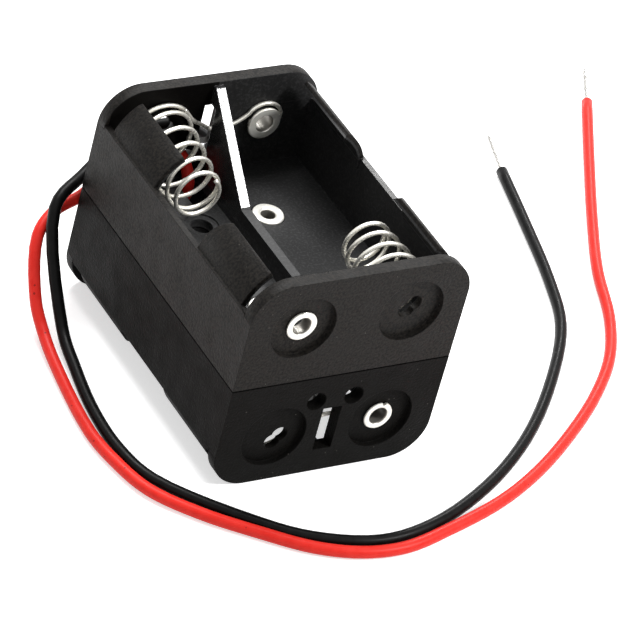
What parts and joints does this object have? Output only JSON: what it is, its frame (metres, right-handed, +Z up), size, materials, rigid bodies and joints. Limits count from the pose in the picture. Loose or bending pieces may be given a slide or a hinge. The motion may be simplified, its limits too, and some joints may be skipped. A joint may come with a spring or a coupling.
{
  "type": "cylindrical cell holder",
  "caption": "Box-shaped holder for small cylindrical cells, two moulded trays back to back with coil spring and eyelet contacts and a red and a black lead with bared ends.",
  "frame": {"origin": "middle of the holder's footprint, on the surface it stands on, leads left out", "axes": "+Z up, X across the two cells of a tray, +Y along the cells towards the end where the leads come out"},
  "size_m": [0.0952, 0.0756, 0.0272],
  "materials": {
    "tray_plastic": "fine-grained black moulding, glossy inside",
    "spring_wire": "bright nickel-plated spring wire",
    "eyelet_metal": "bright nickel plating",
    "red_insulation": "semi-gloss PVC",
    "black_insulation": "semi-gloss PVC",
    "tinned_copper": "tinned strands",
    "solder": "bright solder"
  },
  "bodies": {
    "holder": {"upper_tray": "tray_plastic", "lower_tray": "tray_plastic", "upper_link": "spring_wire", "lower_link": "spring_wire", "upper_left_eyelet": "eyelet_metal", "upper_right_eyelet": "eyelet_metal", "lower_left_eyelet": "eyelet_metal", "lower_right_eyelet": "eyelet_metal", "right_rivet": "eyelet_metal", "left_rivet": "eyelet_metal", "red_lead": "red_insulation", "red_tip": "tinned_copper", "red_joint": "solder", "black_lead": "black_insulation", "black_tip": "tinned_copper", "black_joint": "solder", "jumper": "black_insulation", "jumper_near_joint": "solder", "jumper_far_joint": "solder"},
    "upper_left_spring": {"upper_left_spring": "spring_wire"},
    "upper_right_spring": {"upper_right_spring": "spring_wire"},
    "lower_left_spring": {"lower_left_spring": "spring_wire"},
    "lower_right_spring": {"lower_right_spring": "spring_wire"}
  },
  "joints": [
    {"name": "upper_left_contact_press", "type": "slide", "parent": "holder", "child": "upper_left_spring", "axis": [0, 1, 0], "range_m": [0, 0.0076], "stiffness_N_per_m": 400, "deforming": ["upper_left_spring"]},
    {"name": "upper_right_contact_press", "type": "slide", "parent": "holder", "child": "upper_right_spring", "axis": [0, -1, 0], "range_m": [0, 0.0076], "stiffness_N_per_m": 400, "deforming": ["upper_right_spring"]},
    {"name": "lower_left_contact_press", "type": "slide", "parent": "holder", "child": "lower_left_spring", "axis": [0, -1, 0], "range_m": [0, 0.0076], "stiffness_N_per_m": 400, "deforming": ["lower_left_spring"]},
    {"name": "lower_right_contact_press", "type": "slide", "parent": "holder", "child": "lower_right_spring", "axis": [0, 1, 0], "range_m": [0, 0.0076], "stiffness_N_per_m": 400, "deforming": ["lower_right_spring"]}
  ]
}
